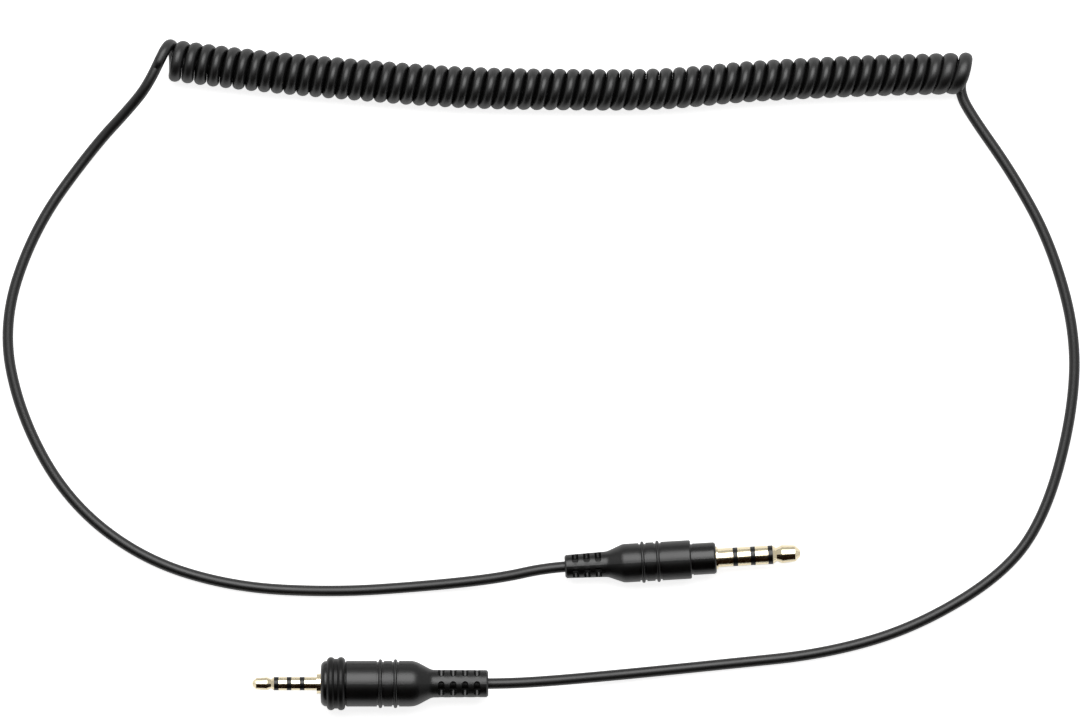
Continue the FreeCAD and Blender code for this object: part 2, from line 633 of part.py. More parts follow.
QUARTER = 90.0
for p, name in (("a_", "plug35_"), ("b_", "plug25_")):
    place = plug_placement(p)

    # The pin: nested tubes, each one reaching further back than the one around it.
    pin = p + "pin_radius"
    stem = p + "stem_radius"
    sleeve = turned(name + "sleeve_contact", [
        (p + "tube_one", p + "tail_one"), (stem, p + "tail_one"), (stem, p + "collar_end"),
        (p + "flange_radius", p + "collar_end"), (p + "flange_radius", p + "sleeve"), (pin, p + "sleeve"),
        (pin, p + "rear_band"), (p + "tube_one", p + "rear_band")])
    settle(name + "sleeve_contact", sleeve, place)
    stack = (
        ("rear_insulator", "tube_one", "tube_two", "film_one", "rear_band", "rear_ring"),
        ("rear_ring_contact", "tube_two", "tube_three", "tail_two", "rear_ring", "middle_band"),
        ("middle_insulator", "tube_three", "tube_four", "film_two", "middle_band", "front_ring"),
        ("front_ring_contact", "tube_four", "tube_five", "tail_three", "front_ring", "front_band"),
        ("front_insulator", "tube_five", "rod", "film_three", "front_band", "tip"),
    )
    for word, outer, inner, rear, shown, end in stack:
        ring = turned(name + word, [
            (p + inner, p + rear), (p + outer, p + rear), (p + outer, p + shown), (pin, p + shown),
            (pin, p + end), (p + inner, p + end)])
        settle(name + word, ring, place)
    tip = turned(name + "tip_contact", [
        ("zero", p + "tail_four"), (p + "rod", p + "tail_four"), (p + "rod", p + "tip"), (pin, p + "tip"),
        (p + "waist_radius", p + "tip_waist"), (p + "bulb_radius", p + "tip_bulb"),
        (p + "cone_radius", p + "tip_cone"), (p + "nose_radius", p + "tip_end"), ("zero", p + "tip_end")])
    settle(name + "tip_contact", tip, place)

    # The moulded outside: boot, shoulder and barrel with two finger ribs, hollow for what it is moulded over.
    outline = [
        ("wire_radius", "zero"), (p + "boot_chamfer", "zero"), (p + "boot_end_radius", "boot_edge"),
        (p + "boot_root_radius", p + "shoulder"), (p + "hollow_end_radius", p + "hollow_end"),
        (p + "round_start_radius", p + "round_start"),
        (p + "barrel_radius", p + "barrel")]
    arcs = {3: (p + "shoulder_hollow", -1), 5: (p + "shoulder_round", 1)}
    for word in ("one", "two"):
        outline += fine_groove(p, p + word + "_back_line")
        arcs[len(outline)] = (p + "rib_arc", 1)
        outline += [(p + "barrel_radius", p + word + "_rib_start"), (p + "barrel_radius", p + word + "_rib_end")]
        outline += fine_groove(p, p + word + "_line")
    arcs[len(outline)] = ("barrel_edge", 1)
    outline += [
        (p + "barrel_radius", p + "edge_start"), (p + "edge_radius", p + "barrel_end"),
        (p + "core_radius", p + "barrel_end"), (p + "core_radius", p + "core_start"),
        ("wire_radius", p + "core_start")]
    mould = turned(name + "overmould", outline, arcs)
    cut_windows(mould, p, ("one", "two", "three") if p == "a_" else ("one", "two", "three", "four"))
    settle(name + "overmould", mould, place)

    # The end of the jacket inside the boot.
    jacket = turned(name + "jacket_end", [
        ("zero", "jacket_entry"), ("wire_radius", "jacket_entry"), ("wire_radius", p + "core_start"),
        ("zero", p + "core_start")])
    settle(name + "jacket_end", jacket, place)

    # Lugs, solder and inner wires, one set for each contact, a quarter turn apart.
    embedded = [own(nodes[name + w]) for w in ("sleeve_contact", "rear_ring_contact", "front_ring_contact",
                                               "tip_contact", "rear_insulator", "middle_insulator",
                                               "front_insulator")]
    circuits = (("sleeve", "stem_radius", "lug_one"), ("rear_ring", "tube_two", "lug_two"),
                ("front_ring", "tube_four", "lug_three"), ("tip", "rod", "lug_four"))
    for n, (word, tube, height) in enumerate(circuits):
        turn = Placement(Vector(), Rotation(Vector(0, 0, 1), QUARTER / 2 + n * QUARTER))
        lug_place = turn.multiply(Placement(Vector(0, 0, size(p + height)), Rotation()))
        piece = lug(name + word + "_lug", p, tube, height)
        settle(name + word + "_lug", piece, place.multiply(lug_place))
        local = own(piece)
        local.Placement = lug_place
        embedded.append(local)

        tab_end = size(p + height) - size("tab_length")
        joint_start = tab_end - size("solder_length")
        joint_place = turn.multiply(Placement(Vector(size(p + "spread_radius"), 0, joint_start), Rotation()))
        joint = turned(name + word + "_solder", [
            ("bare_wire_radius", "zero"), ("solder_radius", "zero"), ("solder_radius", "solder_length"),
            ("zero", "solder_length"), ("zero", "bare_wire_length"), ("bare_wire_radius", "bare_wire_length")])
        settle(name + word + "_solder", joint, place.multiply(joint_place))
        local = own(joint)
        local.Placement = joint_place
        embedded.append(local)

        start = size(p + "core_start")
        far = size(p + "spread_radius")
        near = size("core_wire_ring")
        straight = size("wire_straight")
        route = [Vector(near, 0, start), Vector(near, 0, start + straight), Vector(far, 0, joint_start - straight),
                 Vector(far, 0, joint_start)]
        path, _ = bent_path(route)
        wire = tube_along(path, size("core_wire_radius"), route[0], Vector(0, 0, 1))
        bare = Part.makeCylinder(size("bare_wire_radius"), size("bare_wire_length"), route[-1], Vector(0, 0, 1))
        core = add_shape(name + word + "_wire", wire.fuse(bare).removeSplitter())
        settle(name + word + "_wire", core, place.multiply(turn))
        local = own(core)
        local.Placement = turn
        embedded.append(local)

    # The inner mould holds all of it.
    blank = Part.makeCylinder(size(p + "core_radius"), size(p + "barrel_end") - size(p + "core_start"),
                              Vector(0, 0, size(p + "core_start")))
    filled = blank.cut(embedded)
    core = add_shape(name + "inner_mould", max(filled.Solids, key=lambda s: s.Volume))
    settle(name + "inner_mould", core, place)

place = plug_placement("a_")
collar = turned("plug35_nose_collar", [
    ("a_stem_radius", "a_barrel_end"), ("a_neck_radius", "a_barrel_end"), ("a_neck_radius", "a_neck_end"),
    ("a_collar_radius", "a_neck_end"), ("a_collar_radius", "a_collar_edge_start"),
    ("a_collar_face", "a_collar_end"), ("a_stem_radius", "a_collar_end")], {4: ("a_collar_edge", 1)})
settle("plug35_nose_collar", collar, place)

place = plug_placement("b_")
collar = turned("plug25_front_collar", [
    ("b_stem_radius", "b_barrel_end"), ("b_neck_radius", "b_barrel_end"), ("b_neck_radius", "b_neck_end"),
    ("b_seal_bore", "b_neck_end"), ("b_seal_bore", "b_seal_end"), ("b_collar_radius", "b_seal_end"),
    ("b_collar_radius", "b_collar_edge_start"), ("b_collar_face", "b_collar_end"),
    ("b_stem_radius", "b_collar_end")], {6: ("b_collar_edge", 1)})
settle("plug25_front_collar", collar, place)
seal = turned("plug25_seal_ring", [
    ("b_seal_bore", "b_neck_end"), ("b_foot_radius", "b_neck_end"), ("b_seal_radius", "valley_start"),
    ("b_seal_radius", "valley_end"), ("b_foot_radius", "b_seal_end"), ("b_seal_bore", "b_seal_end")],
    {1: ("ridge_arc", 1), 3: ("ridge_arc", 1)})
settle("plug25_seal_ring", seal, place)


# The curled section. A curl starts at its farthest point from the plugs (+Y), goes down the table side, comes
# forward underneath and climbs back over the top, so that the strands seen from above lean like a slash.
TOPS = 60
FIRST = -0.25
LAST = TOPS + 0.25
AXIS_Y = ((-67.5, 104.8), (-51.0, 102.8), (-32.2, 101.05), (-12.6, 99.63), (6.3, 99.18), (24.8, 99.3),
          (42.0, 100.7), (61.3, 101.65), (81.5, 102.2))
FIRST_TOP_X = -65.88


def axis_y(x):
    """Sideways place of the coil's middle line, a smooth line through the points of AXIS_Y."""
    last = len(AXIS_Y) - 2
    i = 0
    while i < last and x > AXIS_Y[i + 1][0]:
        i += 1
    x0, y0 = AXIS_Y[i]
    x1, y1 = AXIS_Y[i + 1]
    before = AXIS_Y[max(i - 1, 0)]
    after = AXIS_Y[min(i + 2, last + 1)]
    slope0 = (y1 - before[1]) / (x1 - before[0])
    slope1 = (after[1] - y0) / (after[0] - x0)
    t = min(max((x - x0) / (x1 - x0), 0.0), 1.0)
    w = x1 - x0
    return ((2 * t ** 3 - 3 * t * t + 1) * y0 + (t ** 3 - 2 * t * t + t) * w * slope0
            + (3 * t * t - 2 * t ** 3) * y1 + (t ** 3 - t * t) * w * slope1)


coil_height = curl_radius + wire_radius  # its last curl reaches down to the height of the lead


def curl_point(turns):
    """The middle of the wire after so many turns, counted from the first top."""
    part = turns / TOPS
    lean = size("lean_left_ratio") + (size("lean_right_ratio") - size("lean_left_ratio")) * part
    pull = min(max((turns - (TOPS - 2)) / 2, 0.0), 1.0)
    lean += (size("lean_last_ratio") - size("lean_right_ratio")) * pull ** 2
    x = FIRST_TOP_X - size("lean_left_ratio") * curl_radius
    x += size("pitch_left") * turns + (size("pitch_right") - size("pitch_left")) * turns * turns / (2 * TOPS)
    x += size("last_stretch") * pull ** 2
    if turns < 0:
        x -= size("lead_in") * (turns / FIRST) ** 2
    if turns > TOPS:
        x -= size("lead_out") * ((turns - TOPS) / (LAST - TOPS)) ** 2
    angle = 2 * math.pi * turns
    tip = size("tip_left") + (size("tip_right") - size("tip_left")) * min(max(turns / 45, 0.0), 1.0)
    x -= tip * math.sin(angle)
    if TOPS - 1 < turns < TOPS - 0.5:
        x += size("last_under") * math.sin(angle) ** 2
    across = curl_radius * math.cos(angle)
    return Vector(x + lean * across, axis_y(x) + across, coil_height - curl_radius * math.sin(angle))


def curl_direction(turns):
    step = 1e-4
    ahead = curl_point(min(turns + step, LAST)) - curl_point(max(turns - step, FIRST))
    return ahead.normalize()


def biarc(start, start_way, stop, stop_way):
    """Two arcs that leave start along start_way and reach stop along stop_way."""
    chord = stop - start
    both = start_way + stop_way
    a = 2 * (1 - start_way.dot(stop_way))
    b = 2 * chord.dot(both)
    c = -chord.dot(chord)
    reach = (-b + math.sqrt(b * b - 4 * a * c)) / (2 * a) if a > 1e-9 else -c / b
    joint = (start + stop + (start_way - stop_way) * reach) * 0.5
    arcs = []
    for first, way, second in ((start, start_way, joint), (stop, stop_way * -1, joint)):
        line = second - first
        side = line - way * line.dot(way)
        side_length = side.Length
        radius = line.dot(line) / (2 * side_length)
        centre = first + side * (radius / side_length)
        middle = centre + ((first - centre) + (second - centre)).normalize() * radius
        arcs.append((first, middle, second, radius))
    (p0, m0, q0, r0), (p1, m1, q1, r1) = arcs
    return [Part.Arc(p0, m0, q0).toShape(), Part.Arc(q1, m1, p1).toShape()], (r0, r1)


STEPS = 4
stations = [FIRST + i / STEPS for i in range(int((LAST - FIRST) * STEPS) + 1)]
edges = []
bend_radii = []
tail_run = 2 * wire_radius
start_way = curl_direction(FIRST)
edges.append(Part.LineSegment(curl_point(FIRST) - start_way * tail_run, curl_point(FIRST)).toShape())
for here, there in zip(stations[:-1], stations[1:]):
    pair, both = biarc(curl_point(here), curl_direction(here), curl_point(there), curl_direction(there))
    edges += pair
    bend_radii += both
end_way = curl_direction(LAST)
edges.append(Part.LineSegment(curl_point(LAST), curl_point(LAST) + end_way * tail_run).toShape())
curl_path = Part.Wire(edges)
coil_start = curl_point(FIRST) - start_way * tail_run
coil_end = curl_point(LAST) + end_way * tail_run
curls = tube_along(curl_path, curl_wire_radius, coil_start, start_way)
curl_section = math.pi * curl_wire_radius ** 2
section = math.pi * wire_radius ** 2
print("coil start", [round(c, 3) for c in coil_start], "way", [round(c, 4) for c in start_way])
print("coil end", [round(c, 3) for c in coil_end], "way", [round(c, 4) for c in end_way])
print("coil wire %.1f mm, volume share %.5f, tightest arc %.2f mm, valid %s"
      % (curl_path.Length, curls.Volume / (curl_section * curl_path.Length), min(bend_radii), curls.isValid()))
settle("curled_section", add_shape("curled_section", curls), Placement())

# Least gap of the coil to itself, on points along the middle of the wire.
SAMPLES = 24
line = [curl_point(FIRST + i / SAMPLES) for i in range(int((LAST - FIRST) * SAMPLES) + 1)]
gaps = [min(here.distanceToPoint(there) for there in line[i + SAMPLES // 2:i + 2 * SAMPLES]) - 2 * curl_wire_radius
        for i, here in enumerate(line[:-SAMPLES])]
print("least gap of the coil to itself %.3f mm" % min(gaps))
print("  least gap every four turns",
      [round(min(gaps[i:i + 4 * SAMPLES]), 3) for i in range(0, len(gaps), 4 * SAMPLES)])

# Free leads: hand-chosen points, from the plug to the coil. The first two lie on the plug's axis and the last
# two on the line in which the coil ends.
a_axis = plug_placement("a_")
b_axis = plug_placement("b_")
entry = size("jacket_entry")
low = wire_radius
LEFT = [(-4.8, 8.7, 3.0), (-18.2, 7.2, 1.4), (-35.8, 6.0, low), (-54.7, 7.0, low), (-71.6, 12.3, low),
        (-85.4, 23.3, low), (-94.1, 39.3, low), (-97.2, 55.9, low), (-91.3, 73.5, low), (-80.6, 88.2, 1.5),
        (-73.0, 96.2, 4.9)]
RIGHT = [(5.0, -10.3, 4.0), (19.0, -9.1, 1.6), (36.9, -7.3, low), (55.3, -5.4, low), (72.2, -0.5, low),
         (88.8, 9.6, low), (96.4, 20.7, low), (101.2, 38.7, low), (101.9, 54.0, low), (97.2, 70.7, low),
         (90.3, 83.4, low), (82.2, 94.9, low)]
FIRST_RUN = 3.5
LAST_RUN_LEFT = 3.4
LAST_RUN_RIGHT = 1.5
left_route = ([a_axis.multVec(Vector(0, 0, entry)), a_axis.multVec(Vector(0, 0, -FIRST_RUN))]
              + [Vector(*point) for point in LEFT] + [coil_start - start_way * LAST_RUN_LEFT, coil_start])
right_route = ([b_axis.multVec(Vector(0, 0, entry)), b_axis.multVec(Vector(0, 0, -FIRST_RUN))]
               + [Vector(*point) for point in RIGHT] + [coil_end + end_way * LAST_RUN_RIGHT, coil_end])
for label, route in (("left_lead", left_route), ("right_lead", right_route)):
    path, radii = bent_path(route)
    solid = tube_along(path, wire_radius, route[0], (route[1] - route[0]).normalize())
    print(label, "length %.1f mm, volume share %.5f, valid %s" % (
        path.Length, solid.Volume / (section * path.Length), solid.isValid()))
    print("  points", [tuple(round(c, 2) for c in point) for point in route])
    print("  runs", [round((route[i + 1] - route[i]).Length, 1) for i in range(len(route) - 1)])
    print("  bend radii", [round(r, 1) for r in radii])
    settle(label, add_shape(label, solid), Placement())

doc.recompute()
for thing in doc.Objects:
    if any(word in ("Invalid", "Error") for word in thing.State):
        raise SystemExit("not computed: " + thing.Label)
box = None
for label, thing in nodes.items():
    shape = thing.Shape
    if shape.isNull() or not shape.isValid() or not shape.Solids:
        raise SystemExit("no good shape: " + label)
    if len(shape.Solids) != 1:
        print("more than one solid:", label, len(shape.Solids))
    if not label.endswith("lead") and label != "curled_section":
        found = shape.optimalBoundingBox()
        box = found if box is None else box.united(found)
print("plugs: x %.3f to %.3f, y %.3f to %.3f, z %.3f to %.3f" % (
    box.XMin, box.XMax, box.YMin, box.YMax, box.ZMin, box.ZMax))
for label, thing in nodes.items():
    thing.Shape.exportStep("parts/" + label + ".step")
print(len(nodes), "pieces written")
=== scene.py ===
# %% [markdown]
# A curled audio cable, seen from straight above
#
# The cable has a moulded four-contact plug for a 3.5 mm socket at one end, a smaller one for a 2.5 mm
# socket with a seal ring at the other, and a tightly curled middle that can be drawn out. The hard parts
# come from the CAD model, which stays as it is; this script gives them their finishes, makes the cable
# itself, and sets the camera and the lights. Every length is in metres.

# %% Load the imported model
import math

import bmesh
import bpy
from mathutils import Matrix, Vector


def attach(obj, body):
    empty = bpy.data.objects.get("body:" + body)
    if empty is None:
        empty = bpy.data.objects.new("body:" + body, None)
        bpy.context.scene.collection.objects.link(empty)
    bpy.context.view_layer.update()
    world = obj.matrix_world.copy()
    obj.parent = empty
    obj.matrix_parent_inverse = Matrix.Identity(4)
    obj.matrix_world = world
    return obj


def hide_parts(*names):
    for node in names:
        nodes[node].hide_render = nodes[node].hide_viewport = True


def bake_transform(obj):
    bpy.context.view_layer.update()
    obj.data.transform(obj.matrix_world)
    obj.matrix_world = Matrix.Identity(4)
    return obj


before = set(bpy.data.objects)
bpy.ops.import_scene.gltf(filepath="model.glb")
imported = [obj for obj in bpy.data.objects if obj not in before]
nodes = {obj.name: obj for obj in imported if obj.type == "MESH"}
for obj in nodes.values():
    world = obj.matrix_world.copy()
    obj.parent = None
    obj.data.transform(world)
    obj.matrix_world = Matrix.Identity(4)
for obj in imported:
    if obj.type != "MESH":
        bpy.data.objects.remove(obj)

scene = bpy.context.scene
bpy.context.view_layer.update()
near_body = "plug35_end"
far_body = "plug25_end"

# %% [markdown]
# The camera
#
# The photograph looks straight down and shows no perspective, so the camera stands two metres up with a
# long lens. Its lens follows from the width of table that the picture shows at the height of the cable.
# A camera looks down its own -Z with +Y as up, so one that looks at the table from above needs no
# turning at all.

# %% Camera
picture_scale = 5400.0  # picture points to a metre
picture_width = 1080
view_centre = (0.0025, 0.04835)
view_height = 0.0037
camera_distance = 2.0
sensor_width = 36.0  # millimetres, as a lens is

camera_data = bpy.data.cameras.new("table_camera")
camera_data.sensor_width = sensor_width
view_width = picture_width / picture_scale
camera_data.lens = sensor_width * camera_distance / view_width
camera_data.clip_end = 50
camera = bpy.data.objects.new("table_camera", camera_data)
camera.location = (*view_centre, view_height + camera_distance)
scene.collection.objects.link(camera)
scene.camera = camera
scene.view_settings.view_transform = "Standard"
print("lens", round(camera_data.lens, 1), "mm for a view", round(view_width, 4), "m wide")

# %% [markdown]
# The route of the two straight leads
#
# A lead is a soft cable that lies on the table and rises only to meet its plug or the coil. A NURBS
# curve is drawn towards its control points without passing through them, which gives the slow bends of a
# real cable. The first two points of each lead lie on the axis of its plug, so the cable leaves the boot
# straight. The last two lie in line with the end of the coil's wire, and follow below from the coil.

# %% Points of the leads
wire_radius = 0.0010
left_points = [
    (0.00860, 0.01092, 0.00386), (0.00361, 0.01063, 0.00386), (-0.0048, 0.0087, 0.0030),
    (-0.0182, 0.0072, 0.0014), (-0.0358, 0.0060, wire_radius), (-0.0547, 0.0070, wire_radius),
    (-0.0716, 0.0123, wire_radius), (-0.0854, 0.0233, wire_radius), (-0.0941, 0.0393, wire_radius),
    (-0.0972, 0.0559, wire_radius), (-0.0913, 0.0735, wire_radius), (-0.0806, 0.0882, 0.0015),
    (-0.0730, 0.0962, 0.0049),
]
right_points = [
    (-0.00859, -0.01080, 0.00494), (-0.00359, -0.01080, 0.00494), (0.0050, -0.0103, 0.0040),
    (0.0190, -0.0091, 0.0016), (0.0369, -0.0073, wire_radius), (0.0553, -0.0054, wire_radius),
    (0.0722, -0.0005, wire_radius), (0.0888, 0.0096, wire_radius), (0.0964, 0.0207, wire_radius),
    (0.1012, 0.0387, wire_radius), (0.1019, 0.0540, wire_radius), (0.0972, 0.0707, wire_radius),
    (0.0903, 0.0834, wire_radius), (0.0822, 0.0949, wire_radius),
]
last_run_left = 0.0034  # how far before the coil the last but one point lies
last_run_right = 0.0015
print("the left lead has", len(left_points) + 2, "points and the right one", len(right_points) + 2)

# %% [markdown]
# The middle line of the coil
#
# The middle of the cable was wound on a rod and baked, so it springs back to a tight spiral. It lies on
# the table in a slight bow, so the spiral follows a smooth line through a few listed points. A
# modifier could bend a straight spiral afterwards, but then the cable's ends would have to be looked
# for, and the leads must meet them.

# %% Middle line of the coil
coil_line = [
    (-0.0675, 0.1048), (-0.0510, 0.1028), (-0.0322, 0.10105), (-0.0126, 0.09963), (0.0063, 0.09918),
    (0.0248, 0.0993), (0.0420, 0.1007), (0.0613, 0.10165), (0.0815, 0.1022),
]


def clamp(value):
    """The value, kept between 0 and 1."""
    return min(max(value, 0.0), 1.0)


def coil_y(x):
    """Sideways place of the coil's middle line: a smooth line through the points of coil_line."""
    last = len(coil_line) - 2
    i = 0
    while i < last and x > coil_line[i + 1][0]:
        i += 1
    (x0, y0), (x1, y1) = coil_line[i], coil_line[i + 1]
    before, after = coil_line[max(i - 1, 0)], coil_line[min(i + 2, last + 1)]
    slope0 = (y1 - before[1]) / (x1 - before[0])
    slope1 = (after[1] - y0) / (after[0] - x0)
    width = x1 - x0
    t = clamp((x - x0) / width)
    return ((2 * t**3 - 3 * t**2 + 1) * y0 + (t**3 - 2 * t**2 + t) * width * slope0
            + (3 * t**2 - 2 * t**3) * y1 + (t**3 - t**2) * width * slope1)


print("the coil's middle lies", round(coil_line[0][1] - min(y for x, y in coil_line), 4),
      "m nearer to the plugs than its left end")

# %% [markdown]
# The formula of the curls
#
# The turns are worked out by a formula, in which the angle grows with the count of turns. Each strand
# leans like a slash, more so at the right end, where the lead pulls on the last two curls and draws them
# apart. The turns also tip over along the coil, to the left at its left end and to the right at its
# right end, so that the strands on top hide the ones on the table. Sizes read from the photograph are
# named here, so that each can be tried alone.

# %% Formula of the curls
curl_radius = 0.00294
curl_tops = 60
first_turn = -0.25
last_turn = curl_tops + 0.25
first_top_x = -0.06588
pitch_left, pitch_right = 0.002356, 0.00253
lean_left, lean_right, lean_last = 0.070, 0.145, 0.18
tip_left, tip_right = -0.00035, 0.00055
tip_turns = 45  # after this many turns they tip over as far as at the right end
pulled_turns = 2  # the last ones, on which the right lead pulls
last_stretch, last_under = 0.00032, 0.0004  # how far it draws the last curl out, and the strand under it
lead_in, lead_out = 0.00065, 0.00015  # how far the wire's ends turn aside, towards their leads
straight_end = 2 * wire_radius
coil_height = curl_radius + wire_radius


def curl_point(turns, radius=curl_radius):
    """The middle of the wire after so many turns, counted from the first top."""
    pull = clamp((turns - (curl_tops - pulled_turns)) / pulled_turns)
    lean = lean_left + (lean_right - lean_left) * turns / curl_tops + (lean_last - lean_right) * pull**2
    x = first_top_x - lean_left * curl_radius + pitch_left * turns
    x += (pitch_right - pitch_left) * turns**2 / (2 * curl_tops) + last_stretch * pull**2
    if turns < 0:
        x -= lead_in * (turns / first_turn) ** 2
    if turns > curl_tops:
        x -= lead_out * ((turns - curl_tops) / (last_turn - curl_tops)) ** 2
    angle = 2 * math.pi * turns
    x -= (tip_left + (tip_right - tip_left) * clamp(turns / tip_turns)) * math.sin(angle)
    if curl_tops - 1 < turns < curl_tops - 0.5:  # the last strand on the table
        x += last_under * math.sin(angle)
    across = radius * math.cos(angle)
    return Vector((x + lean * across, coil_y(x) + across, coil_height - radius * math.sin(angle)))


def curl_direction(turns):
    """The way the wire runs after so many turns."""
    step = 1e-4
    ahead = curl_point(min(turns + step, last_turn)) - curl_point(max(turns - step, first_turn))
    return ahead.normalized()


coil_start_way = curl_direction(first_turn)
coil_end_way = curl_direction(last_turn)
coil_start = curl_point(first_turn) - coil_start_way * straight_end
coil_end = curl_point(last_turn) + coil_end_way * straight_end
print("the coil runs from", [round(c, 4) for c in coil_start], "to", [round(c, 4) for c in coil_end])

# %% [markdown]
# From points to a curve
#
# The order of a NURBS curve is how many control points share in each stretch: 3 is enough for a cable,
# and stays close to the points. The order and the clamped ends are set after the points are there,
# because a new spline starts with a single point and cuts its order to fit. Each point holds the wire's
# radius, and a lead's bevel is 1 times that: a curve's own box counts the radius of its points, and so
# it has the size of the cable.

# %% Curve helpers
spline_order = 3
steps_to_a_point = 12


def nurbs_curve(name, points):
    """A NURBS curve along the points, with no thickness yet."""
    data = bpy.data.curves.new(name, "CURVE")
    data.dimensions = "3D"
    data.resolution_u = steps_to_a_point
    spline = data.splines.new("NURBS")
    spline.points.add(len(points) - 1)
    for control, point in zip(spline.points, points):
        control.co = (*point, 1.0)
        control.radius = wire_radius
    spline.order_u = spline_order
    spline.use_endpoint_u = True
    curve = bpy.data.objects.new(name, data)
    scene.collection.objects.link(curve)
    return curve


def line_of(curve):
    """The points along a curve that has no thickness yet, in order."""
    bpy.context.view_layer.update()
    mesh = bpy.data.meshes.new_from_object(curve)
    points = [vertex.co.copy() for vertex in mesh.vertices]
    bpy.data.meshes.remove(mesh)
    return points


def length_of(points):
    """The length of the line that joins the points."""
    return sum((b - a).length for a, b in zip(points[:-1], points[1:]))


# %% [markdown]
# The two leads
#
# On the real cable each lead is one piece with the curls: four thin insulated wires in a round black
# jacket. A chain of cylinders could stand for it, but would show its joints in each bend. A lead has the
# same thickness all along, so the curve's own round bevel makes its surface. Each lead rides on the body
# of its own plug.

# %% Leads
lead_sections = 5


def make_lead(name, points, node, body):
    """A round lead along the points, in place of the CAD model's plain one."""
    curve = nurbs_curve(name, points)
    long = length_of(line_of(curve))
    curve.data.bevel_depth = 1.0  # times the points' radius
    curve.data.bevel_resolution = lead_sections
    curve.data.use_fill_caps = True
    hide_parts(node)
    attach(curve, body)
    print(name, "is", round(long, 4), "m long")
    return curve


left_cable = make_lead("left_cable", [Vector(p) for p in left_points]
                       + [coil_start - coil_start_way * last_run_left, coil_start], "left_lead", near_body)
right_cable = make_lead("right_cable", [Vector(p) for p in right_points]
                        + [coil_end + coil_end_way * last_run_right, coil_end], "right_lead", far_body)

# %% [markdown]
# The line of the curled wire
#
# The curls are one NURBS curve too, with 16 control points to a turn. A curve of order 3 runs through
# the middle of each straight between two control points, and so stays a little inside a round of points.
# The points are set that much further out, and the wire's middle then lies at its wound radius.

# %% Line of the curled wire
points_per_turn = 16
steps_in_a_curl = 2  # from control point to control point, because they stand close
wound_radius = 0.00289  # to the middle of the flattened wire
# How far a curve of order 3 stays inside its points, as a part of their radius.
pull_in = (6 + 2 * math.cos(2 * math.pi / points_per_turn)) / 8

turn_count = int(round((last_turn - first_turn) * points_per_turn))
helix = [curl_point(first_turn + i / points_per_turn, wound_radius / pull_in)
         for i in range(1, turn_count)]
helix = [coil_start, curl_point(first_turn)] + helix + [curl_point(last_turn), coil_end]
helix_curve = nurbs_curve("curl_line", helix)
helix_curve.data.resolution_u = steps_in_a_curl
wire_line = line_of(helix_curve)
bpy.data.objects.remove(helix_curve)

# %% [markdown]
# The section of the curled wire
#
# Winding flattens the jacket a little, so the curled wire is wider along the coil than across it, and
# its turns almost touch. Over the top of the coil, where the turns lie free, the outer half stays round
# and narrow, and dark furrows stand between the strands. The last curls are drawn apart, and are made
# wider so that the table doesn't show between them. At both ends the section goes back to the round of
# the leads.

# %% Section of the curled wire
oval_across = 0.000995
oval_share = 0.494  # half of the oval's width along the coil, as a part of the distance from turn to turn
blend_turns = 0.6  # over which the round of the leads becomes the oval
last_wider, wider_turns = 0.0002, 3  # how much wider the last curls are to each side, and how many they are
free_narrow = 0.18  # how much narrower the outer half is where a strand lies free
free_foot = 0.15  # how much wider the inner half is there
free_from, free_rise = 0.35, 0.4  # a strand lies free where its outward way rises above this
free_turns = 3  # the first and last curls, over which that fades
foot_level = 0.5  # how far in from the wire's middle the foot is widest, as a part of its radius


def ring_of(i):
    """Where ring i stands, with its Z along the wire and its X outward, and how free it lies."""
    here = wire_line[i]
    along = (wire_line[min(i + 1, len(wire_line) - 1)] - wire_line[max(i - 1, 0)]).normalized()
    outward = here - Vector((here.x, coil_y(here.x), coil_height))
    outward = (outward - along * outward.dot(along)).normalized()
    side = along.cross(outward)
    turns = i / (len(wire_line) - 1) * curl_tops
    from_end = min(turns, curl_tops - turns)
    share = clamp(from_end / blend_turns)
    across = wire_radius + (oval_across - wire_radius) * share
    full_width = oval_share * (pitch_left + (pitch_right - pitch_left) * turns / curl_tops)
    full_width += last_wider * clamp(turns - (curl_tops - wider_turns))
    wide = wire_radius + (full_width - wire_radius) * share
    turn = Matrix((outward, side, along)).transposed().to_4x4()
    free = clamp((outward.z - free_from) / free_rise) * clamp(from_end / free_turns)
    return Matrix.Translation(here) @ turn @ Matrix.Diagonal((across, wide, 1.0, 1.0)), free


def section_corner(angle, free):
    """A corner of the wire's section: a circle, or a round top on a wider foot where the wire lies free."""
    out, side = math.cos(angle), math.sin(angle)
    top = clamp((out + foot_level) / foot_level)
    return Vector((out, side * (1 + free * (free_foot - (free_foot + free_narrow) * top)), 0.0))


print("the curled wire is", round(2000 * oval_across, 2), "mm high and",
      round(2000 * oval_share * pitch_left, 2), "to", round(2000 * oval_share * pitch_right, 2), "mm wide")

# %% [markdown]
# The surface of the curled wire
#
# A curve's bevel can't keep such a section turned to the coil's axis, so the surface starts as one long
# flat strip from the mesh tools. Each row of the strip is bent into a ring around one point of the
# wire's line, the seam of the rolled strip is merged, and its two ends are closed. The strip's own faces
# join the rings, so none has to be listed by hand.

# %% Surface of the curled wire
ring_corners = 20

